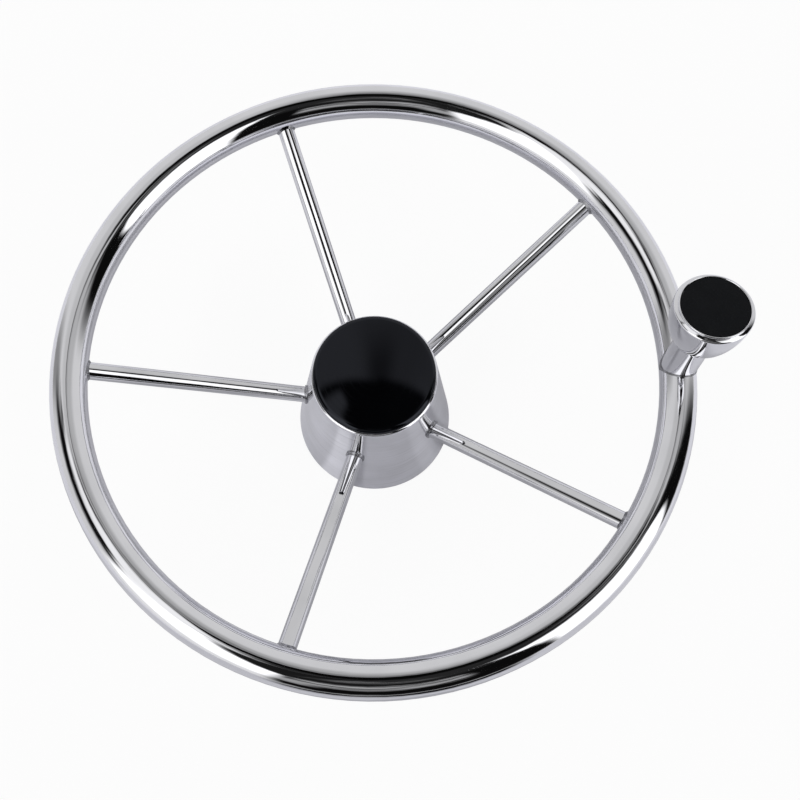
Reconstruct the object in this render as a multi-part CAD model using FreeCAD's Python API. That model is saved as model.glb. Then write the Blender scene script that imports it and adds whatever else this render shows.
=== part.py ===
"""Boat steering wheel: a dished ring on five round spokes, with a conical hub and a spinner knob.

Millimetres, +Z along the wheel's axis towards the helmsman. The origin is on the axis in the
plane of the hub's foot, where the tapered shaft hole is widest. +X points at the knob.
"""
import FreeCAD, Part
import math
import os

from FreeCAD import Vector

# Rim
WHEEL_DIAMETER = 342.9
RIM_TUBE_DIAMETER = 19.05
RIM_TUBE_WALL = 1.2
RIM_PLANE_HEIGHT = 112.4

# Spokes
SPOKE_COUNT = 5
SPOKE_DIAMETER = 9.525
SPOKE_SLOPE = 26.6
FIRST_SPOKE_AZIMUTH = -32.4
RIM_WELD_WIDTH = 1.1
HUB_WELD_SIZE = 0.9

# Hub cone, a spun shell with its top edge rolled inwards into a collar for the cap
HUB_FOOT_DIAMETER = 98.4
HUB_LIP_DIAMETER = 72.4
HUB_HEIGHT = 86.3
HUB_WALL = 1.5
HUB_LIP_ROLL = 1.8
HUB_FOOT_ROUNDING = 0.4
COLLAR_DIAMETER = 60.0
COLLAR_DEPTH = 9.0
COLLAR_BEND = 0.6

# Boss and plate inside the hub
BOSS_DIAMETER = 36.0
BOSS_LENGTH = 38.0
BOSS_CHAMFER = 1.0
SHAFT_DIAMETER = 19.05
SHAFT_TAPER = 1.0 / 12.0
KEYWAY_WIDTH = 4.76
KEYWAY_DEPTH = 2.0
KEYWAY_AZIMUTH = 90.0
PLATE_HEIGHT = 8.0
PLATE_THICKNESS = 4.0
PLATE_WELD_SIZE = 3.0

# Centre cap
CAP_DIAMETER = 69.8
CAP_EDGE_HEIGHT = 2.6
CAP_EDGE_ROUNDING = 1.2
CAP_CROWN = 1.3
CAP_SKIRT_LENGTH = 8.0
CAP_SKIRT_WALL = 1.8
CAP_RIB_COUNT = 8
CAP_RIB_RADIUS = 0.8
CAP_RIB_PROUD = 0.35
CAP_FIT_CLEARANCE = 0.05
CAP_SEAT_GAP = 0.2

# Knob post, measured along its own axis from the rim tube's centre line
POST_DIAMETER = 18.4
POST_LENGTH = 31.5
POST_LEAN = 7.8
POST_LEAN_BEARING = 112.5
POST_EDGE = 0.5
POST_WELD_SIZE = 0.5

# Knob
KNOB_DIAMETER = 37.8
KNOB_FOOT_DIAMETER = 20.8
KNOB_CUP_HEIGHT = 30.8
KNOB_FOOT_ROUNDING = 0.6
KNOB_WALL = 2.6
KNOB_FLOOR = 8.5
KNOB_CORE_DIAMETER = 17.0
KNOB_CORE_HEIGHT = 17.0
INSERT_DIAMETER = 32.0
INSERT_THICKNESS = 2.6
INSERT_RECESS = 0.3
INSERT_CLEARANCE = 0.05
INSERT_LEDGE = 1.8
INSERT_CHAMFER = 0.3

# Fullness of the cup's side, as shares of its height and of its flare
CUP_TOP_HANDLE = 0.41
CUP_FOOT_HANDLE_OUT = 0.62
CUP_FOOT_HANDLE_UP = 0.213

# Bearing of the knob
SPINDLE_DIAMETER = 8.0
SPINDLE_THREAD_DIAMETER = 6.0
SPINDLE_THREAD_LENGTH = 13.0
SPINDLE_HEAD_DIAMETER = 13.0
SPINDLE_HEAD_HEIGHT = 5.0
SPINDLE_SOCKET_ACROSS = 5.0
SPINDLE_SOCKET_DEPTH = 3.0
SPINDLE_CHAMFER = 0.5
HOLE_EXTRA_DEPTH = 1.0
BUSH_WALL = 1.6
BUSH_LENGTH = 7.5
BUSH_FLANGE_DIAMETER = 16.0
BUSH_FLANGE_THICKNESS = 1.2
WASHER_DIAMETER = 14.6
WASHER_THICKNESS = 1.0
WASHER_CLEARANCE = 0.1
BEARING_CLEARANCE = 0.05
END_PLAY = 0.15

# Cutting tools pass this far beyond the face that they open
OVERSHOOT = 1.0

# Two lines this near to each other are the same line
SEAM_TOLERANCE = 0.01

# Sizes that follow from the ones above
RIM_TUBE_RADIUS = RIM_TUBE_DIAMETER / 2
RIM_RADIUS = WHEEL_DIAMETER / 2 - RIM_TUBE_RADIUS
HUB_FOOT_RADIUS = HUB_FOOT_DIAMETER / 2
HUB_LIP_RADIUS = HUB_LIP_DIAMETER / 2
COLLAR_RADIUS = COLLAR_DIAMETER / 2
BOSS_RADIUS = BOSS_DIAMETER / 2
CAP_BASE_HEIGHT = HUB_HEIGHT + CAP_SEAT_GAP
KNOB_RADIUS = KNOB_DIAMETER / 2
KNOB_FOOT_HEIGHT = POST_LENGTH + END_PLAY + BUSH_FLANGE_THICKNESS
KNOB_WIDEST_HEIGHT = KNOB_FOOT_HEIGHT + KNOB_CUP_HEIGHT
INSERT_POCKET_RADIUS = INSERT_DIAMETER / 2 + INSERT_CLEARANCE
KNOB_LIP_ROLL = (KNOB_RADIUS - INSERT_POCKET_RADIUS) / 2
INSERT_TOP = KNOB_WIDEST_HEIGHT + KNOB_LIP_ROLL - INSERT_RECESS
INSERT_SEAT = INSERT_TOP - INSERT_THICKNESS
KNOB_CORE_TOP = KNOB_FOOT_HEIGHT + KNOB_CORE_HEIGHT
BUSH_OUTER_RADIUS = SPINDLE_DIAMETER / 2 + BEARING_CLEARANCE + BUSH_WALL
WASHER_BASE = KNOB_CORE_TOP + BUSH_FLANGE_THICKNESS + END_PLAY
HEAD_BASE = WASHER_BASE + WASHER_THICKNESS

UP = Vector(0, 0, 1)
CENTRE = Vector(0, 0, 0)


class Outline:
    """A closed outline in the XZ half plane, given as radius and height, for turned pieces."""

    def __init__(self, radius, height):
        self.start = Vector(radius, 0, height)
        self.here = self.start
        self.edges = []

    def line(self, radius, height):
        end = Vector(radius, 0, height)
        if self.here.distanceToPoint(end) > 1e-6:
            self.edges.append(Part.LineSegment(self.here, end).toShape())
        self.here = end
        return self

    def arc(self, through, end):
        middle = Vector(through[0], 0, through[1])
        last = Vector(end[0], 0, end[1])
        self.edges.append(Part.Arc(self.here, middle, last).toShape())
        self.here = last
        return self

    def corner(self, corner, end):
        """Quarter round from here to end that keeps inside the given square corner."""
        bulge = 1 - math.sqrt(0.5)
        radius = corner[0] + bulge * (self.here.x + end[0] - 2 * corner[0])
        height = corner[1] + bulge * (self.here.z + end[1] - 2 * corner[1])
        return self.arc((radius, height), end)

    def curve(self, first_handle, second_handle, end):
        poles = [self.here]
        for radius, height in (first_handle, second_handle, end):
            poles.append(Vector(radius, 0, height))
        bezier = Part.BezierCurve()
        bezier.setPoles(poles)
        self.edges.append(bezier.toShape())
        self.here = poles[-1]
        return self

    def turned(self):
        self.line(self.start.x, self.start.z)
        face = Part.Face(Part.Wire(self.edges))
        return face.revolve(CENTRE, UP, 360)


def turned_about_axis(shape, azimuth):
    turned = shape.copy()
    turned.rotate(CENTRE, UP, azimuth)
    return turned


def ring(outer, inner, base, height):
    """Flat ring, bush or washer between two heights."""
    outside = Part.makeCylinder(outer, height, Vector(0, 0, base))
    inside = Part.makeCylinder(inner, height + 2 * OVERSHOOT, Vector(0, 0, base - OVERSHOOT))
    return outside.cut(inside)


def keep(name, shape):
    """Write one piece, checked, as its own file."""
    if not shape.isValid() or not shape.Solids:
        raise ValueError(name + " is not a valid solid")
    shape.exportStep("parts/" + name + ".step")


# Rim

def rim_ring(tube_radius):
    """Solid ring on the rim's centre line."""
    return Part.makeTorus(RIM_RADIUS, tube_radius, Vector(0, 0, RIM_PLANE_HEIGHT), UP)


def rim_tube():
    return rim_ring(RIM_TUBE_RADIUS).cut(rim_ring(RIM_TUBE_RADIUS - RIM_TUBE_WALL))


# Hub cone

def hub_outer_radius(height):
    """Radius of the cone's straight side at a height."""
    rise = HUB_HEIGHT - HUB_LIP_ROLL
    return HUB_FOOT_RADIUS + (HUB_LIP_RADIUS - HUB_FOOT_RADIUS) * height / rise


def hub_side_angle():
    return math.atan2(HUB_FOOT_RADIUS - HUB_LIP_RADIUS, HUB_HEIGHT - HUB_LIP_ROLL)


def hub_inner_radius(height):
    return hub_outer_radius(height) - HUB_WALL / math.cos(hub_side_angle())


def hub_envelope(grown=0.0):
    """The cone as a solid, its side moved outwards by a distance."""
    extra = grown / math.cos(hub_side_angle())
    top = HUB_HEIGHT - HUB_LIP_ROLL
    outline = Outline(0, 0)
    outline.line(hub_outer_radius(0) + extra, 0)
    outline.line(hub_outer_radius(top) + extra, top)
    outline.line(0, top)
    return outline.turned()


def hub_cone():
    roll_height = HUB_HEIGHT - HUB_LIP_ROLL
    under_flange = HUB_HEIGHT - HUB_WALL
    collar_foot = HUB_HEIGHT - COLLAR_DEPTH
    collar_outside = COLLAR_RADIUS + HUB_WALL
    bend_outside = COLLAR_BEND + HUB_WALL
    outline = Outline(hub_inner_radius(0), 0)
    outline.line(HUB_FOOT_RADIUS - HUB_FOOT_ROUNDING, 0)
    outline.corner((HUB_FOOT_RADIUS, 0), (hub_outer_radius(HUB_FOOT_ROUNDING), HUB_FOOT_ROUNDING))
    outline.line(HUB_LIP_RADIUS, roll_height)
    outline.corner((HUB_LIP_RADIUS, HUB_HEIGHT), (HUB_LIP_RADIUS - HUB_LIP_ROLL, HUB_HEIGHT))
    outline.line(COLLAR_RADIUS + bend_outside, HUB_HEIGHT)
    outline.corner((COLLAR_RADIUS, HUB_HEIGHT), (COLLAR_RADIUS, HUB_HEIGHT - bend_outside))
    outline.line(COLLAR_RADIUS, collar_foot)
    outline.line(collar_outside, collar_foot)
    outline.line(collar_outside, under_flange - COLLAR_BEND)
    outline.corner((collar_outside, under_flange), (collar_outside + COLLAR_BEND, under_flange))
    outline.line(hub_inner_radius(under_flange), under_flange)
    return outline.turned()


# Spokes and welds

def spoke_direction():
    slope = math.radians(SPOKE_SLOPE)
    return Vector(math.cos(slope), 0, math.sin(slope))


def spoke_start():
    """Where the spoke's line crosses the wheel's axis, inside the hub."""
    drop = RIM_RADIUS * math.tan(math.radians(SPOKE_SLOPE))
    return Vector(0, 0, RIM_PLANE_HEIGHT - drop)


def spoke_bar(radius):
    """Round bar from the wheel's axis to the rim tube's centre line, towards +X."""
    length = RIM_RADIUS / math.cos(math.radians(SPOKE_SLOPE))
    return Part.makeCylinder(radius, length, spoke_start(), spoke_direction())


def spoke(azimuth):
    """Rod with both ends cut to fit the cone and the rim tube."""
    rod = spoke_bar(SPOKE_DIAMETER / 2)
    rod = rod.cut(hub_envelope()).cut(rim_ring(RIM_TUBE_RADIUS))
    return turned_about_axis(rod, azimuth)


def spoke_azimuths():
    return [FIRST_SPOKE_AZIMUTH + 360 * index / SPOKE_COUNT for index in range(SPOKE_COUNT)]


def at_each_spoke(shape):
    return Part.makeCompound([turned_about_axis(shape, azimuth) for azimuth in spoke_azimuths()])


def ground_weld(bar, wall, width):
    """Weld ground off aslant in the corner between a bar and the wall that it stands on."""
    joined = bar.fuse(wall)
    seam = bar.section(wall)
    corner = []
    for edge in joined.Edges:
        middle = edge.valueAt((edge.FirstParameter + edge.LastParameter) / 2)
        if seam.distToShape(Part.Vertex(middle))[0] < SEAM_TOLERANCE:
            corner.append(edge)
    return joined.makeChamfer(width, corner).cut(bar).cut(wall)


def standing_weld(bar, thick_bar, wall, thick_wall):
    """Bead left standing in the corner between a bar and the wall that it stands on."""
    return thick_bar.common(thick_wall).cut(bar).cut(wall)


def rim_welds():
    bar = spoke_bar(SPOKE_DIAMETER / 2)
    return at_each_spoke(ground_weld(bar, rim_ring(RIM_TUBE_RADIUS), RIM_WELD_WIDTH))


def hub_welds():
    bar = spoke_bar(SPOKE_DIAMETER / 2)
    thick_bar = spoke_bar(SPOKE_DIAMETER / 2 + HUB_WELD_SIZE)
    return at_each_spoke(standing_weld(bar, thick_bar, hub_envelope(), hub_envelope(HUB_WELD_SIZE)))


# Boss and plate

def shaft_radius(height):
    """Radius of the tapered shaft hole at a height."""
    return (SHAFT_DIAMETER - SHAFT_TAPER * height) / 2


def keyway():
    """Slot beside the shaft hole, its floor parallel to the taper."""
    low = -OVERSHOOT
    high = BOSS_LENGTH + OVERSHOOT
    corners = [
        Vector(0, -KEYWAY_WIDTH / 2, low),
        Vector(shaft_radius(low) + KEYWAY_DEPTH, -KEYWAY_WIDTH / 2, low),
        Vector(shaft_radius(high) + KEYWAY_DEPTH, -KEYWAY_WIDTH / 2, high),
        Vector(0, -KEYWAY_WIDTH / 2, high),
    ]
    side = Part.Face(Part.makePolygon(corners + corners[:1]))
    return turned_about_axis(side.extrude(Vector(0, KEYWAY_WIDTH, 0)), KEYWAY_AZIMUTH)


def hub_boss():
    outline = Outline(shaft_radius(0), 0)
    outline.line(BOSS_RADIUS - BOSS_CHAMFER, 0)
    outline.line(BOSS_RADIUS, BOSS_CHAMFER)
    outline.line(BOSS_RADIUS, BOSS_LENGTH - BOSS_CHAMFER)
    outline.line(BOSS_RADIUS - BOSS_CHAMFER, BOSS_LENGTH)
    outline.line(shaft_radius(BOSS_LENGTH), BOSS_LENGTH)
    return outline.turned().cut(keyway())


def hub_plate():
    top = PLATE_HEIGHT + PLATE_THICKNESS
    outline = Outline(BOSS_RADIUS, PLATE_HEIGHT)
    outline.line(hub_inner_radius(PLATE_HEIGHT), PLATE_HEIGHT)
    outline.line(hub_inner_radius(top), top)
    outline.line(BOSS_RADIUS, top)
    return outline.turned()


def plate_welds():
    """Fillet rings under the plate, at the cone and at the boss."""
    below = PLATE_HEIGHT - PLATE_WELD_SIZE
    at_cone = Outline(hub_inner_radius(PLATE_HEIGHT), PLATE_HEIGHT)
    at_cone.line(hub_inner_radius(below), below)
    at_cone.line(hub_inner_radius(PLATE_HEIGHT) - PLATE_WELD_SIZE, PLATE_HEIGHT)
    at_boss = Outline(BOSS_RADIUS, PLATE_HEIGHT)
    at_boss.line(BOSS_RADIUS, below)
    at_boss.line(BOSS_RADIUS + PLATE_WELD_SIZE, PLATE_HEIGHT)
    return Part.makeCompound([at_cone.turned(), at_boss.turned()])


# Centre cap

def cap_disc():
    """Disc with a rounded edge and a top that is part of a sphere."""
    edge = CAP_BASE_HEIGHT + CAP_EDGE_HEIGHT
    radius = CAP_DIAMETER / 2
    shoulder = radius - CAP_EDGE_ROUNDING
    sphere = (shoulder ** 2 + CAP_CROWN ** 2) / (2 * CAP_CROWN)
    sphere_centre = edge + CAP_CROWN - sphere
    halfway = shoulder / 2
    outline = Outline(0, CAP_BASE_HEIGHT)
    outline.line(radius, CAP_BASE_HEIGHT)
    outline.line(radius, edge - CAP_EDGE_ROUNDING)
    outline.corner((radius, edge), (shoulder, edge))
    outline.arc((halfway, sphere_centre + math.sqrt(sphere ** 2 - halfway ** 2)), (0, edge + CAP_CROWN))
    return outline.turned()


def centre_cap():
    """Cap with a ribbed skirt that grips the hub's collar."""
    rib_reach = COLLAR_RADIUS - CAP_FIT_CLEARANCE
    skirt_outer = rib_reach - CAP_RIB_PROUD
    foot = CAP_BASE_HEIGHT - CAP_SKIRT_LENGTH
    skirt = ring(skirt_outer, skirt_outer - CAP_SKIRT_WALL, foot, CAP_SKIRT_LENGTH)
    rib = Part.makeCylinder(CAP_RIB_RADIUS, CAP_SKIRT_LENGTH, Vector(rib_reach - CAP_RIB_RADIUS, 0, foot))
    ribs = [turned_about_axis(rib, 360 * index / CAP_RIB_COUNT) for index in range(CAP_RIB_COUNT)]
    hollow = Part.makeCylinder(skirt_outer - CAP_SKIRT_WALL, CAP_SKIRT_LENGTH, Vector(0, 0, foot))
    return cap_disc().fuse([skirt] + ribs).cut(hollow).removeSplitter()


# Knob, each piece made upright round the Z axis and then set on the rim

def on_rim(shape):
    """Lean an upright piece towards the lean's bearing and stand it on the rim tube's centre line."""
    bearing = math.radians(POST_LEAN_BEARING)
    level_line = Vector(-math.sin(bearing), math.cos(bearing), 0)
    placed = shape.copy()
    placed.rotate(CENTRE, level_line, POST_LEAN)
    placed.translate(Vector(RIM_RADIUS, 0, RIM_PLANE_HEIGHT))
    return placed


def spindle_hole():
    depth = SPINDLE_THREAD_LENGTH + HOLE_EXTRA_DEPTH
    base = Vector(0, 0, POST_LENGTH - depth)
    return Part.makeCylinder(SPINDLE_THREAD_DIAMETER / 2, depth + OVERSHOOT, base)


def post_bar(radius):
    return Part.makeCylinder(radius, POST_LENGTH)


def knob_post():
    """Post with its foot cut to saddle the rim tube and a tapped hole in its top."""
    outline = Outline(0, 0)
    outline.line(POST_DIAMETER / 2, 0)
    outline.line(POST_DIAMETER / 2, POST_LENGTH - POST_EDGE)
    outline.line(POST_DIAMETER / 2 - POST_EDGE, POST_LENGTH)
    outline.line(0, POST_LENGTH)
    post = on_rim(outline.turned().cut(spindle_hole()))
    return post.cut(rim_ring(RIM_TUBE_RADIUS))


def post_weld():
    bar = on_rim(post_bar(POST_DIAMETER / 2))
    thick_bar = on_rim(post_bar(POST_DIAMETER / 2 + POST_WELD_SIZE))
    thick_ring = rim_ring(RIM_TUBE_RADIUS + POST_WELD_SIZE)
    return standing_weld(bar, thick_bar, rim_ring(RIM_TUBE_RADIUS), thick_ring)


def knob_spindle():
    """Shoulder bolt with a hexagon socket in its head."""
    shoulder = SPINDLE_DIAMETER / 2
    thread = SPINDLE_THREAD_DIAMETER / 2
    head = SPINDLE_HEAD_DIAMETER / 2
    head_top = HEAD_BASE + SPINDLE_HEAD_HEIGHT
    foot = POST_LENGTH - SPINDLE_THREAD_LENGTH
    outline = Outline(0, foot)
    outline.line(thread - SPINDLE_CHAMFER, foot)
    outline.line(thread, foot + SPINDLE_CHAMFER)
    outline.line(thread, POST_LENGTH)
    outline.line(shoulder, POST_LENGTH)
    outline.line(shoulder, HEAD_BASE)
    outline.line(head, HEAD_BASE)
    outline.line(head, head_top - SPINDLE_CHAMFER)
    outline.line(head - SPINDLE_CHAMFER, head_top)
    outline.line(0, head_top)
    return on_rim(outline.turned().cut(hexagon_socket(head_top)))


def hexagon_socket(top):
    across_corners = SPINDLE_SOCKET_ACROSS / math.cos(math.pi / 6)
    floor = top - SPINDLE_SOCKET_DEPTH
    corners = []
    for index in range(6):
        angle = index * math.pi / 3
        corners.append(Vector(math.cos(angle), math.sin(angle), 0) * (across_corners / 2))
    face = Part.Face(Part.makePolygon(corners + corners[:1]))
    face.translate(Vector(0, 0, floor))
    return face.extrude(UP * (SPINDLE_SOCKET_DEPTH + OVERSHOOT))


def head_washer():
    hole = SPINDLE_DIAMETER / 2 + WASHER_CLEARANCE
    return on_rim(ring(WASHER_DIAMETER / 2, hole, WASHER_BASE, WASHER_THICKNESS))


def bush(flange_base, sleeve_base):
    hole = SPINDLE_DIAMETER / 2 + BEARING_CLEARANCE
    flange = ring(BUSH_FLANGE_DIAMETER / 2, hole, flange_base, BUSH_FLANGE_THICKNESS)
    sleeve = ring(BUSH_OUTER_RADIUS, hole, sleeve_base, BUSH_LENGTH)
    return on_rim(flange.fuse(sleeve).removeSplitter())


def lower_bush():
    return bush(KNOB_FOOT_HEIGHT - BUSH_FLANGE_THICKNESS, KNOB_FOOT_HEIGHT)


def upper_bush():
    return bush(KNOB_CORE_TOP, KNOB_CORE_TOP - BUSH_LENGTH)


def knob_body():
    """Flared cup with a rolled lip, a pocket for the insert and a core for the bushes."""
    foot_radius = KNOB_FOOT_DIAMETER / 2
    foot = KNOB_FOOT_HEIGHT
    side_foot = foot + KNOB_FOOT_ROUNDING
    flare = KNOB_RADIUS - foot_radius
    widest = KNOB_WIDEST_HEIGHT
    side_height = widest - side_foot
    ledge = INSERT_POCKET_RADIUS - INSERT_LEDGE
    cavity_floor = foot + KNOB_FLOOR
    core = KNOB_CORE_DIAMETER / 2
    cavity_foot = foot_radius + flare * KNOB_FLOOR / side_height + KNOB_FOOT_ROUNDING - KNOB_WALL / 2
    outline = Outline(BUSH_OUTER_RADIUS, foot)
    outline.line(foot_radius - KNOB_FOOT_ROUNDING, foot)
    outline.corner((foot_radius, foot), (foot_radius, side_foot))
    outline.curve(
        (foot_radius + CUP_FOOT_HANDLE_OUT * flare, side_foot + CUP_FOOT_HANDLE_UP * side_height),
        (KNOB_RADIUS, widest - CUP_TOP_HANDLE * side_height),
        (KNOB_RADIUS, widest))
    outline.arc((KNOB_RADIUS - KNOB_LIP_ROLL, widest + KNOB_LIP_ROLL), (INSERT_POCKET_RADIUS, widest))
    outline.line(INSERT_POCKET_RADIUS, INSERT_SEAT)
    outline.line(ledge, INSERT_SEAT)
    outline.curve(
        (ledge, INSERT_SEAT - CUP_TOP_HANDLE * side_height),
        (cavity_foot + KNOB_WALL / 2, cavity_floor + CUP_FOOT_HANDLE_UP * side_height / 2),
        (cavity_foot, cavity_floor))
    outline.line(core, cavity_floor)
    outline.line(core, KNOB_CORE_TOP)
    outline.line(BUSH_OUTER_RADIUS, KNOB_CORE_TOP)
    return on_rim(outline.turned())


def knob_insert():
    radius = INSERT_DIAMETER / 2
    outline = Outline(0, INSERT_SEAT)
    outline.line(radius, INSERT_SEAT)
    outline.line(radius, INSERT_TOP - INSERT_CHAMFER)
    outline.line(radius - INSERT_CHAMFER, INSERT_TOP)
    outline.line(0, INSERT_TOP)
    return on_rim(outline.turned())


def main():
    os.makedirs("parts", exist_ok=True)
    keep("rim_tube", rim_tube())
    for number, azimuth in enumerate(spoke_azimuths(), start=1):
        keep("spoke_" + str(number), spoke(azimuth))
    keep("rim_welds", rim_welds())
    keep("hub_cone", hub_cone())
    keep("hub_welds", hub_welds())
    keep("hub_boss", hub_boss())
    keep("hub_plate", hub_plate())
    keep("plate_welds", plate_welds())
    keep("centre_cap", centre_cap())
    keep("knob_post", knob_post())
    keep("post_weld", post_weld())
    keep("knob_spindle", knob_spindle())
    keep("head_washer", head_washer())
    keep("lower_bush", lower_bush())
    keep("upper_bush", upper_bush())
    keep("knob_body", knob_body())
    keep("knob_insert", knob_insert())


main()
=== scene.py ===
"""Looks of a stainless boat steering wheel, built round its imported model."""

import math
from collections import namedtuple

import bmesh
import bpy
from mathutils import Matrix, Vector


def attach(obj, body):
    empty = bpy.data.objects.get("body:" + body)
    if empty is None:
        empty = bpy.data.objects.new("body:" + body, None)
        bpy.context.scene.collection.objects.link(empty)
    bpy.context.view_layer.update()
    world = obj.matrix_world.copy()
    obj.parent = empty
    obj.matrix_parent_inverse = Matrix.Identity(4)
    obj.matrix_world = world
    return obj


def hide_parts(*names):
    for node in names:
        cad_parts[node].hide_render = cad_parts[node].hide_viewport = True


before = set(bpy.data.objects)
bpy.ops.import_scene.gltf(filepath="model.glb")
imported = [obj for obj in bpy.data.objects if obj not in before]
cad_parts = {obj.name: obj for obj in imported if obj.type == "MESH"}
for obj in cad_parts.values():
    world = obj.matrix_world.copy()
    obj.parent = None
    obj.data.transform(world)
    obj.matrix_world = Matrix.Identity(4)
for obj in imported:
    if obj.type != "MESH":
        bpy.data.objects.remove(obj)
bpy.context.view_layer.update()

MM = 0.001
DEGREES = 180 / math.pi

# The camera of the photograph: its place, its axes and its lens
CAMERA_PLACE = Vector((5.45, -148.17, 535.87)) * MM
CAMERA_ELEVATION = math.radians(72.365)
CAMERA_ROLL = math.radians(1.613)
CAMERA_SENSOR = 36.0
CAMERA_LENS = 37.76
CAMERA_SHIFT = (0.0202, -0.0205)
CAMERA_CLIP = (0.01, 50.0)

# Places in the wheel that the polish follows
RIM_RADIUS = 161.925 * MM
RIM_HEIGHT = 112.4 * MM
SPOKE_SLOPE = math.radians(26.6)
FIRST_SPOKE = math.radians(-32.4)
SPOKE_STEP = math.radians(72.0)
KNOB_LEAN = math.radians(7.8)
KNOB_BEARING = math.radians(112.5)
KNOB_AXIS = (
    math.sin(KNOB_LEAN) * math.cos(KNOB_BEARING),
    math.sin(KNOB_LEAN) * math.sin(KNOB_BEARING),
    math.cos(KNOB_LEAN),
)

# Polishing lines: how closely they lie side by side, and how slowly they change along the metal, per metre
LINES_ACROSS = 340.0
LINES_ALONG = 15.0
TURNING_LINES = 900.0

# Between these values of a noise a look changes from its one end to its other
MIDDLE = (0.35, 0.65)
WIDE = (0.3, 0.7)

# The knob's cup in mm, heights above the rim's plane
CUP_BORE = 5.65
CUP_FOOT = 32.85
CUP_FOOT_RADIUS = 10.4
CUP_FOOT_ROUNDING = 0.6
CUP_RADIUS = 18.77
CUP_SHOULDER = 62.3
POCKET_RADIUS = 16.05
POCKET_FLOOR = 62.175
LEDGE_RADIUS = 14.25
CUP_FLOOR = 41.35
CORE_RADIUS = 8.5
CORE_TOP = 49.85

# The centre cap in mm, heights above the hub's foot
CAP_BASE = 86.5
CAP_TOP = 90.4
CAP_RADIUS = 34.9
CAP_BEVEL = 0.3
CAP_EDGE_REACH = (3.293, 2.3)
CAP_EDGE_HEIGHT = 87.024
CAP_CROWN_RADIUS = 469.0
CAP_FLAT_RADIUS = 31.9
CAP_FLAT_RINGS = 12
SKIRT_INNER = 27.8
SKIRT_OUTER = 29.6
SKIRT_LENGTH = 8.0
RIB_COUNT = 8
RIB_RADIUS = 0.8
RIB_CENTRE = 29.15

LATHE_SEGMENTS = 240
SHARP_ANGLE = math.radians(32)
MERGE_DISTANCE = 1e-7

# A panel is a part of the studio's inside, told by its direction in degrees. The bearing runs from 0 at the
# far side (+Y) over the left side (90) to the camera's side (180), and the zenith angle from 0 overhead to
# 90 at the horizon. A blur is half the width of a soft edge. A side that leans moves in bearing with each
# degree of zenith, and an end that leans moves in zenith with each degree of bearing. A level of four
# numbers follows the streaks: two values of their noise, and the levels there.
Panel = namedtuple(
    "Panel",
    "level bearings zeniths side_blur end_blur side_lean end_lean",
    defaults=((3, 3), (3, 3), (0.0, 0.0), (0.0, 0.0)),
)
WALL_ZENITHS = (40.0, 95.0)
WALL_LEVELS = (0.72, 0.74)
LEAN_ZENITH = 60.0
STREAK_SCALE = (0.03, 0.36)
STREAK_SEED = 5.3

# The far wall is a little darker under the ceiling, most of all straight ahead
FAR_WALL = (
    Panel(0.60, (-20, 50), (12, 41), (8, 8), (4, 8)),
    Panel(0.52, (290, 380), (16, 41), (8, 8), (6, 10)),
    Panel(0.44, (336, 380), (12, 36), (8, 8), (4, 8)),
    Panel(0.46, (-20, 9), (12, 35), (6, 6), (4, 6)),
    Panel(0.18, (352, 380), (12, 25), (5, 5), (4, 6)),
    Panel(0.18, (-20, 5), (12, 25), (5, 5), (4, 6)),
)
# A white strip runs along the ceiling's edge, with the dark ceiling above it
WHITE_STRIP = (
    Panel(1.0, (48, 110), (9, 17), (7, 10)),
    Panel(1.05, (58, 118), (9, 32), (5, 6), (3, 5), end_lean=(0.0, 0.15)),
)
CEILING = (
    Panel(0.022, (-20, 112), (-20, 9)),
    Panel(0.022, (108, 380), (-20, 15), (10, 10), (4, 4)),
    Panel(0.003, (-20, 46), (-20, 17.3), (6, 5), (3, 1.2), end_lean=(0.0, 0.06)),
    Panel(0.003, (316, 380), (-20, 17.0), (5, 6), (3, 1.2)),
)
# The dim end of the strip, which the cap shows at its lower left
STRIP_END = (Panel(0.70, (27, 50), (11.5, 16.2), (2.5, 4), (1.2, 1.2), end_lean=(-0.12, 0.0)),)
# A dark flag on the left, its tail that runs up towards the far wall, and the bright slit beside it
LEFT_FLAG = (
    Panel(0.30, (66, 82), (38, 90), (6, 6), (6, 10)),
    Panel(0.05, (62, 84), (34, 38.5), (5, 5), (3, 4), end_lean=(0.7, 0.5)),
    Panel(0.004, (75, 114), (36, 60), (4, 4), (4, 9)),
    Panel(1.10, (108, 120), (21, 45), (2.5, 3), (4, 5)),
)
# The dark side behind the camera, and the camera's own grey and streaky stand
DARK_SIDE = (
    Panel(0.012, (116, 160), (-20, 44), (3, 3), (5, 5)),
    Panel(0.022, (157, 300), (-20, 30), (4, 8), (5, 5)),
    Panel(0.004, (157, 287), (24, 90), (2.5, 8), (5, 7), side_lean=(0.0, -0.1)),
)
CAMERA_STAND = (
    Panel((0.38, 0.60, 0.09, 0.46), (161, 204.5), (34, 58), (4, 2), (5, 7)),
    Panel(0.40, (155, 167), (50, 66), (3, 4), (6, 6)),
    Panel((0.40, 0.60, 0.02, 0.20), (163, 202), (9, 19), (5, 5)),
)
# The right softbox with a dim patch beyond it, and the left one with its fainter lower part
SOFTBOXES = (
    Panel(1.5, (223.5, 262), (24, 90), (2, 2), (5, 6), side_lean=(0.0, -0.25), end_lean=(0.30, 0.0)),
    Panel(0.15, (266, 282), (12, 26), (5, 5), (3, 5)),
    Panel(1.5, (115, 158), (27, 76), (3, 2.5), (4, 8), end_lean=(0.6, 0.0)),
    Panel(0.9, (112, 158), (76, 94), (4, 4), (8, 8)),
)
# Each panel covers those before it
STUDIO = FAR_WALL + WHITE_STRIP + CEILING + STRIP_END + LEFT_FLAG + DARK_SIDE + CAMERA_STAND + SOFTBOXES

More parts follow.
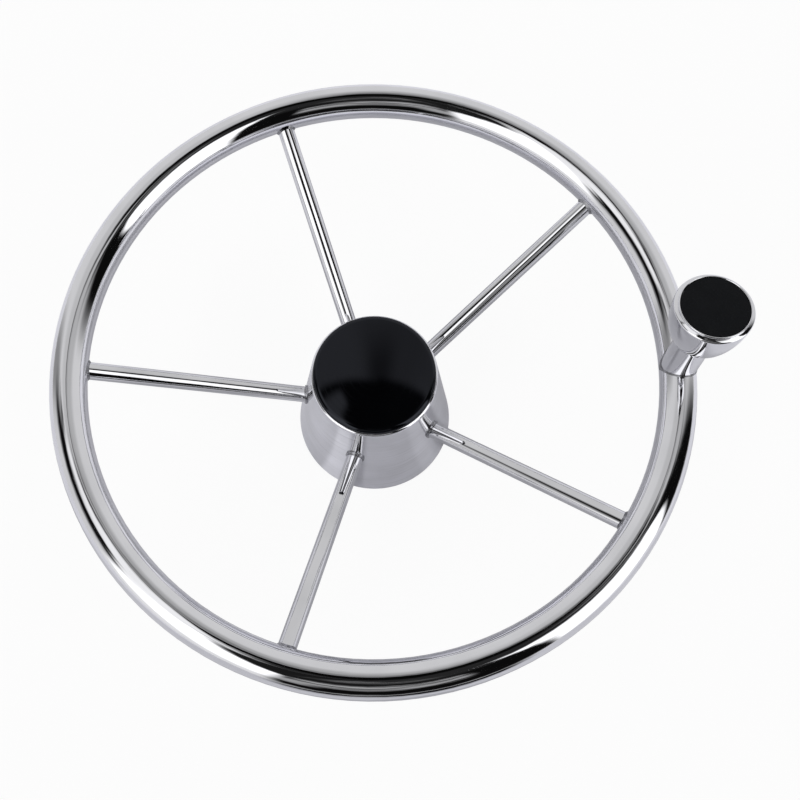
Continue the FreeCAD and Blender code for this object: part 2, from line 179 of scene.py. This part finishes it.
# The paper under the wheel, in metres. Painted light: the steel shows the paper brighter towards some
# bearings, as painted pools of light on it: each has its bearing in degrees, the distances where its light
# begins and where it is full, and its strength.
PAPER_REACH = 6.0
PAINTED_PAPER_LIGHTS = (
    (62, 0.12, 0.24, 0.45),
    (315, 0.15, 0.24, 0.5),
    (144, 0.17, 0.26, 0.3),
    (240, 0.17, 0.26, 0.35),
)
# A painted glow over all the paper, and a painted pool of light near the hub on the left
PAINTED_NEAR_LIGHT = 0.12
PAINTED_NEAR_LEFT_LIGHT = (80, 0.01, 0.06, 0.12)
PAINTED_NEAR_LEFT_ENDS = (0.08, 0.14)
# Painted reflections round the hub's foot, which the cone shows: painted light where the strength is above 0
# and painted shade where it is below. Bearing and half width in degrees, and strength
PAINTED_CONE_REFLECTIONS = ((145.0, 12.0, 0.18), (164.0, 11.0, -0.12), (231.0, 12.0, 0.05), (254.0, 12.0, -0.12))
PAINTED_CONE_REFLECTION_ENDS = (0.08, 0.12)
PAINTED_CONE_REFLECTION_CORE = 0.4
# Far out behind the camera the paper is painted nearly black for all rays but the camera's: painted shade,
# which only the rim's near side shows
PAINTED_DARK_BEARING = 187
PAINTED_DARK_REACH = (0.36, 0.85)
PAINTED_DARK_SIDES = (0.40, 0.62)
PAPER_COLOR = (0.56, 0.56, 0.60)
PAINTED_DARK_COLOR = (0.02, 0.02, 0.022)
PAINTED_SHINE_COLOR = (0.96, 0.96, 1.0, 1.0)
# The camera sees it white, with a little of the wheel's shadow
WHITE = (1.0, 1.0, 1.0, 1.0)
PAPER_WHITE = 1.03
PAPER_UNSHADED = 0.88


def make_camera():
    """The camera stands over the near side of the wheel and looks down at the hub."""
    data = bpy.data.cameras.new("camera")
    data.sensor_width = CAMERA_SENSOR
    data.lens = CAMERA_LENS
    data.shift_x, data.shift_y = CAMERA_SHIFT
    data.clip_start, data.clip_end = CAMERA_CLIP
    camera = bpy.data.objects.new("camera", data)
    back = Vector((0.0, -math.cos(CAMERA_ELEVATION), math.sin(CAMERA_ELEVATION)))
    right = Vector((1.0, 0.0, 0.0))
    up = back.cross(right)
    turn = Matrix.Rotation(CAMERA_ROLL, 3, back)
    right, up = turn @ right, turn @ up
    axes = Matrix((right, up, back)).transposed().to_4x4()
    camera.matrix_world = Matrix.Translation(CAMERA_PLACE) @ axes
    bpy.context.scene.collection.objects.link(camera)
    bpy.context.scene.camera = camera


class Nodes:
    """A short way to write a shader's node tree."""

    def __init__(self, tree):
        self.tree = tree
        tree.nodes.clear()

    def add(self, kind, values=None, **settings):
        """A node whose inputs are linked, where the value is a socket, or set."""
        node = self.tree.nodes.new(kind)
        for name, value in settings.items():
            setattr(node, name, value)
        for key, value in (values or {}).items():
            if isinstance(value, bpy.types.NodeSocket):
                self.tree.links.new(value, node.inputs[key])
            else:
                node.inputs[key].default_value = value
        return node

    def math(self, operation, a, b=0.0):
        return self.add("ShaderNodeMath", {0: a, 1: b}, operation=operation).outputs[0]

    def scaled(self, value, factor):
        return self.math("MULTIPLY", value, factor)

    def less(self, value, amount):
        return self.math("SUBTRACT", value, amount)

    def smooth(self, value, low, high, first=0.0, last=1.0):
        """From first to last while the value goes from low to high, with soft ends."""
        values = {"Value": value, "From Min": low, "From Max": high, "To Min": first, "To Max": last}
        return self.add("ShaderNodeMapRange", values, interpolation_type="SMOOTHSTEP").outputs["Result"]

    def mix(self, factor, a, b):
        return self.add("ShaderNodeMix", {0: factor, 2: a, 3: b}, data_type="FLOAT").outputs[0]

    def tint(self, factor, a, b):
        """A colour between two, each of them three numbers or a socket."""
        a, b = (end if isinstance(end, bpy.types.NodeSocket) else (*end, 1.0) for end in (a, b))
        return self.add("ShaderNodeMix", {0: factor, 6: a, 7: b}, data_type="RGBA").outputs[2]

    def place(self):
        return self.add("ShaderNodeTexCoord").outputs["Object"]

    def split(self, vector):
        return self.add("ShaderNodeSeparateXYZ", {0: vector}).outputs

    def vector(self, x, y, z):
        return self.add("ShaderNodeCombineXYZ", {0: x, 1: y, 2: z}).outputs[0]

    def reach(self, x, y):
        """How far a place lies from the wheel's axis."""
        flat = self.vector(x, y, 0.0)
        return self.add("ShaderNodeVectorMath", {0: flat}, operation="LENGTH").outputs["Value"]

    def along(self, place, way):
        """How far a place lies towards a direction."""
        return self.add("ShaderNodeVectorMath", {0: place, 1: way}, operation="DOT_PRODUCT").outputs["Value"]

    def bearing(self, x, y):
        """The bearing in degrees, from 0 at +Y over 90 at -X up to 360."""
        turn = self.scaled(self.math("ARCTAN2", self.scaled(x, -1.0), y), DEGREES)
        return self.math("FLOORED_MODULO", turn, 360.0)

    def noise(self, vector, scale=1.0, detail=2.0, w=0.0):
        values = {"Vector": vector, "W": w, "Scale": scale, "Detail": detail}
        return self.add("ShaderNodeTexNoise", values, noise_dimensions="4D").outputs[0]

    def bump(self, height, distance):
        values = {"Height": height, "Strength": 1.0, "Distance": distance}
        return self.add("ShaderNodeBump", values).outputs[0]


def panel_share(t, panel, bearing, zenith):
    """How much of a panel is seen in a direction: 1 inside it, 0 beyond its soft edges."""
    def between(value, places, blurs, leans, along, pivot):
        edges = []
        for place, blur, lean, ends in zip(places, blurs, leans, ((0.0, 1.0), (1.0, 0.0))):
            moved = t.less(value, t.scaled(t.less(along, pivot), lean)) if lean else value
            edges.append(t.smooth(moved, place - blur, place + blur, *ends))
        return t.math("MULTIPLY", *edges)

    middle = sum(panel.bearings) / 2
    sides = between(bearing, panel.bearings, panel.side_blur, panel.side_lean, zenith, LEAN_ZENITH)
    ends = between(zenith, panel.zeniths, panel.end_blur, panel.end_lean, bearing, middle)
    return t.math("MULTIPLY", sides, ends)


def make_world():
    """A studio round the wheel: pale walls, two tall softboxes and dark flags, told apart by direction."""
    world = bpy.data.worlds.new("studio")
    bpy.context.scene.world = world
    world.use_nodes = True
    t = Nodes(world.node_tree)
    x, y, z = t.split(t.add("ShaderNodeTexCoord").outputs["Generated"])
    bearing = t.bearing(x, y)
    zenith = t.scaled(t.math("ARCCOSINE", z), DEGREES)
    stretched = t.vector(t.scaled(bearing, STREAK_SCALE[0]), t.scaled(zenith, STREAK_SCALE[1]), 0.0)
    streak = t.noise(stretched, detail=1.0, w=STREAK_SEED)
    level = t.smooth(zenith, *WALL_ZENITHS, *WALL_LEVELS)
    for panel in STUDIO:
        shade = t.smooth(streak, *panel.level) if isinstance(panel.level, tuple) else panel.level
        level = t.mix(panel_share(t, panel, bearing, zenith), level, shade)
    path = t.add("ShaderNodeLightPath").outputs
    seen = t.mix(path["Is Camera Ray"], level, 1.0)
    background = t.add("ShaderNodeBackground", {"Color": WHITE, "Strength": seen})
    t.add("ShaderNodeOutputWorld", {"Surface": background.outputs[0]})


def principled(name, build, **fixed):
    """A Principled material: fixed values go on the shader's own sockets, build() links the rest."""
    m = bpy.data.materials.new(name)
    m.use_nodes = True
    t = Nodes(m.node_tree)
    p = t.add("ShaderNodeBsdfPrincipled")
    for key, value in fixed.items():
        p.inputs[key.replace("_", " ")].default_value = value
    for key, value in build(t).items():
        t.tree.links.new(value, p.inputs[key])
    t.add("ShaderNodeOutputMaterial", {"Surface": p.outputs[0]})
    return m


def rim_lines(t):
    """Polishing lines that follow the rim tube round the wheel."""
    x, y, z = t.split(t.place())
    across = t.scaled(t.less(t.reach(x, y), RIM_RADIUS), LINES_ACROSS)
    height = t.scaled(t.less(z, RIM_HEIGHT), LINES_ACROSS)
    return t.vector(across, height, t.scaled(x, LINES_ALONG)), t.scaled(y, LINES_ALONG)


def spoke_lines(t):
    """Polishing lines that run out along each spoke, and differ from one spoke to the next."""
    spoke_change = 2.0
    x, y, z = t.split(t.place())
    turn = t.less(t.math("ARCTAN2", y, x), FIRST_SPOKE - SPOKE_STEP / 2)
    off = t.less(t.math("FLOORED_MODULO", turn, SPOKE_STEP), SPOKE_STEP / 2)
    reach = t.reach(x, y)
    side = t.math("MULTIPLY", reach, t.math("SINE", off))
    out = t.math("MULTIPLY", reach, t.math("COSINE", off))
    line = t.scaled(t.less(out, RIM_RADIUS), math.tan(SPOKE_SLOPE))
    rise = t.less(t.less(z, RIM_HEIGHT), line)
    lines = t.vector(t.scaled(side, LINES_ACROSS), t.scaled(rise, LINES_ACROSS), t.scaled(out, LINES_ALONG))
    return lines, t.scaled(turn, spoke_change)


def knob_lines(t):
    """Turning lines round the leaning axis of the post and the knob."""
    place = t.place()
    up = t.along(place, KNOB_AXIS)
    x, y, z = t.split(place)
    return t.vector(t.scaled(x, LINES_ALONG), t.scaled(y, LINES_ALONG), t.scaled(up, LINES_ACROSS)), 0.0


def level_lines(t, slow):
    """Fine lines round the wheel's axis that change slowly along their way."""
    x, y, z = t.split(t.place())
    return t.vector(t.scaled(x, slow), t.scaled(y, slow), t.scaled(z, TURNING_LINES))


def polished(lines, depth, dark=(0.75, 0.75, 0.775), light=(0.80, 0.80, 0.825)):
    """Mirror steel: faint lines left by the polishing wheel, a few dull smears and fine hairlines."""
    def build(t):
        way, w = lines(t)
        ripple = t.noise(way, w=w)
        hair = t.noise(way, 5.0, 1.0, w)
        smear = t.noise(t.place(), 34.0, 3.0)
        dull = t.smooth(smear, 0.42, 0.72, 0.028, 0.075)
        return {
            "Base Color": t.tint(t.smooth(smear, 0.35, 0.7), light, dark),
            "Roughness": t.math("ADD", dull, t.smooth(hair, 0.62, 0.72, 0.0, 0.05)),
            "Normal": t.bump(ripple, depth),
        }
    return build


def satin(t):
    """The cone's dull polish, drawn round the axis, with soft cloudy patches and a few scratches."""
    dark, light, scratched = (0.82, 0.82, 0.85), (0.92, 0.92, 0.955), (0.5, 0.5, 0.52)
    fine = t.noise(level_lines(t, 22.0), detail=3.0)
    patch = t.noise(t.place(), 42.0)
    scratch = t.noise(level_lines(t, 24.0), detail=0.0, w=4.0)
    shade = t.math("ADD", t.scaled(fine, 0.4), t.scaled(patch, 0.6))
    clean = t.tint(t.smooth(shade, 0.36, 0.64), dark, light)
    return {
        "Base Color": t.tint(t.scaled(t.smooth(scratch, 0.70, 0.78), 0.35), clean, scratched),
        "Roughness": t.smooth(patch, *WIDE, 0.045, 0.09),
        "Normal": t.bump(fine, 0.008 * MM),
    }


def turned(t):
    """Lathe rings on the boss and on the plate, cut round the wheel's axis."""
    dark, light = (0.62, 0.62, 0.635), (0.72, 0.72, 0.735)
    x, y, z = t.split(t.place())
    cut = t.noise(t.vector(t.scaled(t.reach(x, y), TURNING_LINES), t.scaled(z, TURNING_LINES), 0.0))
    patch = t.noise(t.place(), 60.0)
    return {
        "Base Color": t.tint(t.smooth(patch, *MIDDLE), dark, light),
        "Roughness": t.smooth(cut, *WIDE, 0.18, 0.32),
        "Normal": t.bump(cut, 0.04 * MM),
    }


def weld(t):
    """Weld metal dressed back to steel, with what is left of its ripples."""
    dark, light = (0.26, 0.26, 0.27), (0.42, 0.42, 0.44)
    ripple = t.noise(t.place(), 700.0)
    patch = t.noise(t.place(), 130.0)
    return {
        "Base Color": t.tint(t.smooth(patch, *MIDDLE), dark, light),
        "Roughness": t.smooth(patch, 0.35, 0.7, 0.10, 0.24),
        "Normal": t.bump(ripple, 0.08 * MM),
    }


def fastener(t):
    """Plain stainless bar, turned and lightly oiled."""
    dark, light = (0.52, 0.52, 0.54), (0.64, 0.64, 0.66)
    way, w = knob_lines(t)
    cut = t.noise(way, 2.0, w=w)
    patch = t.noise(t.place(), 260.0)
    return {
        "Base Color": t.tint(t.smooth(patch, *WIDE), dark, light),
        "Roughness": t.smooth(patch, *WIDE, 0.18, 0.32),
        "Normal": t.bump(cut, 0.02 * MM),
    }


def bush(t):
    """Natural bearing plastic, a little cloudy."""
    dark, light = (0.62, 0.61, 0.57), (0.74, 0.73, 0.69)
    cloud = t.noise(t.place(), 240.0, 3.0)
    return {
        "Base Color": t.tint(t.smooth(cloud, *WIDE), dark, light),
        "Roughness": t.smooth(cloud, *WIDE, 0.34, 0.48),
        "Normal": t.bump(cloud, 0.02 * MM),
    }


def insert(t):
    """The knob's inlay: matt black plastic with a fine grain, duller in some patches than in others."""
    black, speck = (0.0030, 0.0038, 0.0054), (0.009, 0.0105, 0.013)
    grain = t.noise(t.place(), 1500.0)
    cloud = t.noise(t.place(), 120.0, 3.0)
    return {
        "Base Color": t.tint(t.smooth(grain, 0.56, 0.74), black, speck),
        "Roughness": t.smooth(cloud, *WIDE, 0.48, 0.62),
        "Normal": t.bump(grain, 0.12 * MM),
    }


def cap(t):
    """The hub cap: glossy black plastic, not quite flat, with faint rings from wiping."""
    dark, light = (0.0013, 0.0014, 0.0019), (0.0018, 0.0020, 0.0026)
    x, y, z = t.split(t.place())
    wave = t.noise(t.place(), 40.0, 1.0)
    wiped = t.noise(t.vector(t.scaled(t.reach(x, y), 800.0), t.scaled(x, 12.0), t.scaled(y, 12.0)))
    return {
        "Base Color": t.tint(t.smooth(wave, *MIDDLE), dark, light),
        "Roughness": t.smooth(wiped, 0.45, 0.75, 0.045, 0.085),
        "Normal": t.bump(wave, 0.02 * MM),
    }


METAL = {"Metallic": 1.0}
LOOKS = {
    "polished_steel": (polished(rim_lines, 0.09 * MM), METAL),
    "satin_steel": (satin, METAL),
    "turned_steel": (turned, METAL),
    "weld": (weld, METAL),
    "fastener_steel": (fastener, METAL),
    "bush_plastic": (bush, {"IOR": 1.48}),
    "insert_black": (insert, {"Specular_IOR_Level": 0.13}),
    "cap_black": (cap, {"IOR": 1.5, "Specular_IOR_Level": 0.37, "Specular_Tint": (0.80, 0.84, 1.0, 1.0)}),
}
# Nodes whose polish runs another way than the rim's
OWN_LOOKS = {
    # The spokes get a darker copy of the rim's polished steel: painted shade that makes them read darker
    "spokes": (polished(spoke_lines, 0.12 * MM, (0.66, 0.66, 0.68), (0.74, 0.74, 0.76)), METAL),
    "knob_post": (polished(knob_lines, 0.01 * MM), METAL),
    "knob_body": (polished(knob_lines, 0.01 * MM), METAL),
}


def dress(made, own):
    """Each node gets its own look, or else the look of its slot in the record."""
    for name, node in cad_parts.items():
        kind = "spokes" if name.startswith("spoke") else name
        for slot in node.material_slots:
            slot.material = own.get(kind) or made[slot.material.name.split(".")[0]]


def ellipse(centre, reach, first, last, steps):
    """Points on an ellipse between two angles in degrees, 0 at its top and 90 at its outer side."""
    points = []
    for step in range(steps + 1):
        angle = math.radians(first + (last - first) * step / steps)
        points.append((centre[0] + reach[0] * math.sin(angle), centre[1] + reach[1] * math.cos(angle)))
    return points


def bezier(start, first, second, end, steps):
    """Points on a cubic curve between two ends with a handle each, without its start."""
    points = []
    for step in range(1, steps + 1):
        u = step / steps
        v = 1 - u
        weights = (v ** 3, 3 * v * v * u, 3 * v * u * u, u ** 3)
        handles = (start, first, second, end)
        points.append(tuple(sum(w * h[i] for w, h in zip(weights, handles)) for i in (0, 1)))
    return points


def lathe(outline, place):
    """Turn a closed outline of radius and height in mm round the Z axis, and put it in its place."""
    bm = bmesh.new()
    rings = []
    for index in range(LATHE_SEGMENTS):
        angle = 2 * math.pi * index / LATHE_SEGMENTS
        c, s = math.cos(angle), math.sin(angle)
        rings.append([bm.verts.new(place @ (Vector((r * c, r * s, z)) * MM)) for r, z in outline])
    for index, ring in enumerate(rings):
        following = rings[(index + 1) % LATHE_SEGMENTS]
        for i in range(len(outline)):
            j = (i + 1) % len(outline)
            if outline[i][0] > 0 or outline[j][0] > 0:
                bm.faces.new((ring[i], ring[j], following[j], following[i]))
    bmesh.ops.remove_doubles(bm, verts=bm.verts, dist=MERGE_DISTANCE)
    bmesh.ops.recalc_face_normals(bm, faces=bm.faces)
    return bm


def make_piece(name, bm, material):
    """An object of a finished mesh, smooth but for its edges."""
    mesh = bpy.data.meshes.new(name)
    bm.to_mesh(mesh)
    bm.free()
    mesh.polygons.foreach_set("use_smooth", [True] * len(mesh.polygons))
    mesh.set_sharp_from_angle(angle=SHARP_ANGLE)
    mesh.materials.append(material)
    piece = bpy.data.objects.new(name, mesh)
    bpy.context.scene.collection.objects.link(piece)
    return piece


def knob_cup(material):
    """The knob's cup with the photograph's lip: a narrow ring, a crease, and a soft shoulder outside it."""
    corner = (CUP_FOOT_RADIUS - CUP_FOOT_ROUNDING, CUP_FOOT + CUP_FOOT_ROUNDING)
    side_foot, side_top = (CUP_FOOT_RADIUS, corner[1]), (CUP_RADIUS, CUP_SHOULDER)
    ledge, hollow_foot = (LEDGE_RADIUS, POCKET_FLOOR), (11.9, CUP_FLOOR)

    outline = [(CUP_BORE, CUP_FOOT), (corner[0], CUP_FOOT)]
    outline += ellipse(corner, (CUP_FOOT_ROUNDING, -CUP_FOOT_ROUNDING), 0, 90, 5)
    outline += bezier(side_foot, (15.67, 39.88), (CUP_RADIUS, 49.0), side_top, 18)
    # The shoulder, the crease and the ring
    outline += ellipse((CUP_RADIUS - 1.0, CUP_SHOULDER), (1.0, 1.2), 86, 24, 10)
    outline += [(17.6, 63.66), (17.03, 63.90)]
    outline += ellipse((16.54, 64.2), (0.49, 0.86), 100, -84, 12)
    # The pocket for the insert with its ledge, the hollow and the core round the bushes
    outline += [(POCKET_RADIUS, 64.1), (POCKET_RADIUS, POCKET_FLOOR), ledge]
    outline += bezier(ledge, (LEDGE_RADIUS, 49.8), (14.0, 44.7), hollow_foot, 8)
    outline += [(CORE_RADIUS, CUP_FLOOR), (CORE_RADIUS, CORE_TOP), (CUP_BORE, CORE_TOP)]

    lean = Matrix.Rotation(KNOB_LEAN, 4, Vector((-math.sin(KNOB_BEARING), math.cos(KNOB_BEARING), 0)))
    place = Matrix.Translation((RIM_RADIUS, 0, RIM_HEIGHT)) @ lean
    cup = make_piece("knob_cup", lathe(outline, place), material)
    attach(cup, "knob")
    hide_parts("knob_body")


def hub_cap(material):
    """The cap with its soft outer edge, and the ribbed skirt that shows when it is lifted off."""
    skirt_foot = CAP_BASE - SKIRT_LENGTH
    outline = [(0, CAP_BASE), (SKIRT_INNER, CAP_BASE), (SKIRT_INNER, skirt_foot)]
    outline += [(SKIRT_OUTER, skirt_foot), (SKIRT_OUTER, CAP_BASE)]
    outline += [(CAP_RADIUS - CAP_BEVEL, CAP_BASE), (CAP_RADIUS, CAP_BASE + CAP_BEVEL)]
    outline += ellipse((CAP_RADIUS - CAP_EDGE_REACH[0], CAP_EDGE_HEIGHT), CAP_EDGE_REACH, 90, 5.1, 14)
    # The crown, which is nearly flat
    for step in range(1, CAP_FLAT_RINGS + 1):
        r = CAP_FLAT_RADIUS * (1 - step / CAP_FLAT_RINGS)
        outline.append((r, CAP_TOP - r * r / (2 * CAP_CROWN_RADIUS)))

    bm = lathe(outline, Matrix.Identity(4))
    for index in range(RIB_COUNT):
        angle = 2 * math.pi * index / RIB_COUNT
        x, y = RIB_CENTRE * math.cos(angle), RIB_CENTRE * math.sin(angle)
        spot = Vector((x, y, CAP_BASE - SKIRT_LENGTH / 2)) * MM
        bmesh.ops.create_cone(
            bm, cap_ends=True, segments=24, radius1=RIB_RADIUS * MM, radius2=RIB_RADIUS * MM,
            depth=SKIRT_LENGTH * MM, matrix=Matrix.Translation(spot))
    cap = make_piece("hub_cap", bm, material)
    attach(cap, "cap")
    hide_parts("centre_cap")


def painted_paper_light(t, place):
    """Painted light on the paper: how bright the steel shows it, and how much of the painted shade far
    behind the camera lies there.
    """
    def towards(bearing):
        angle = math.radians(bearing)
        return t.along(place, (-math.sin(angle), math.cos(angle), 0.0))

    def light(bearing, near, full, strength):
        return t.smooth(towards(bearing), near, full, 0.0, strength)

    x, y, z = t.split(place)
    reach = t.reach(x, y)
    painted_near_left = t.math("MULTIPLY", light(*PAINTED_NEAR_LEFT_LIGHT), t.smooth(reach, *PAINTED_NEAR_LEFT_ENDS, 1.0, 0.0))
    painted_glow = t.math("ADD", painted_near_left, PAINTED_NEAR_LIGHT)
    for row in PAINTED_PAPER_LIGHTS:
        painted_glow = t.math("MAXIMUM", painted_glow, light(*row))
    bearing = t.bearing(x, y)
    near = t.smooth(reach, *PAINTED_CONE_REFLECTION_ENDS, 1.0, 0.0)
    # Painted light and painted shade in streaks round the hub's foot
    for middle, half, strength in PAINTED_CONE_REFLECTIONS:
        off = t.math("ABSOLUTE", t.less(bearing, middle))
        streak = t.smooth(off, half * PAINTED_CONE_REFLECTION_CORE, half, strength, 0.0)
        painted_glow = t.math("ADD", painted_glow, t.math("MULTIPLY", near, streak))
    # Painted shade: a narrow wedge of the paper far behind the camera is painted dark
    out = towards(PAINTED_DARK_BEARING)
    sideways = t.math("ABSOLUTE", towards(PAINTED_DARK_BEARING - 90))
    narrow = t.smooth(t.math("DIVIDE", sideways, t.math("MAXIMUM", out, 0.01)), *PAINTED_DARK_SIDES, 1.0, 0.0)
    painted_dark = t.math("MULTIPLY", t.smooth(out, *PAINTED_DARK_REACH), narrow)
    return t.math("MULTIPLY", painted_glow, t.math("SUBTRACT", 1.0, painted_dark)), painted_dark


def make_floor():
    """White paper under the wheel; in the steel it shows a painted glow, brighter out to the sides, and
    painted shade far behind the camera.
    """
    mesh = bpy.data.meshes.new("floor")
    s = PAPER_REACH
    mesh.from_pydata([(-s, -s, 0), (s, -s, 0), (s, s, 0), (-s, s, 0)], [], [(0, 1, 2, 3)])
    floor = bpy.data.objects.new("floor", mesh)
    bpy.context.scene.collection.objects.link(floor)
    m = bpy.data.materials.new("floor_paper_painted_glow")
    m.use_nodes = True
    t = Nodes(m.node_tree)
    painted_glow, painted_dark = painted_paper_light(t, t.place())
    path = t.add("ShaderNodeLightPath").outputs
    paper = t.add("ShaderNodeBsdfDiffuse", {"Color": t.tint(painted_dark, PAPER_COLOR, PAINTED_DARK_COLOR)})
    # Painted light: the paper glows only for glossy rays, so the steel shows it brighter than it is lit
    strength = t.math("MULTIPLY", painted_glow, path["Is Glossy Ray"])
    painted_shine = t.add("ShaderNodeEmission", {"Color": PAINTED_SHINE_COLOR, "Strength": strength})
    lit = t.add("ShaderNodeAddShader", {0: paper.outputs[0], 1: painted_shine.outputs[0]})
    white = t.add("ShaderNodeBsdfDiffuse", {"Color": WHITE})
    bright = t.add("ShaderNodeEmission", {"Color": WHITE, "Strength": PAPER_WHITE})
    seen = t.add("ShaderNodeMixShader", {0: PAPER_UNSHADED, 1: white.outputs[0], 2: bright.outputs[0]})
    both = t.add("ShaderNodeMixShader", {0: path["Is Camera Ray"], 1: lit.outputs[0], 2: seen.outputs[0]})
    t.add("ShaderNodeOutputMaterial", {"Surface": both.outputs[0]})
    mesh.materials.append(m)


make_camera()
make_world()
looks = {name: principled(name, build, **fixed) for name, (build, fixed) in LOOKS.items()}
own_looks = {name: principled(name + "_look", build, **fixed) for name, (build, fixed) in OWN_LOOKS.items()}
dress(looks, own_looks)
knob_cup(own_looks["knob_body"])
hub_cap(looks["cap_black"])
make_floor()
bpy.context.scene.view_settings.view_transform = "Standard"
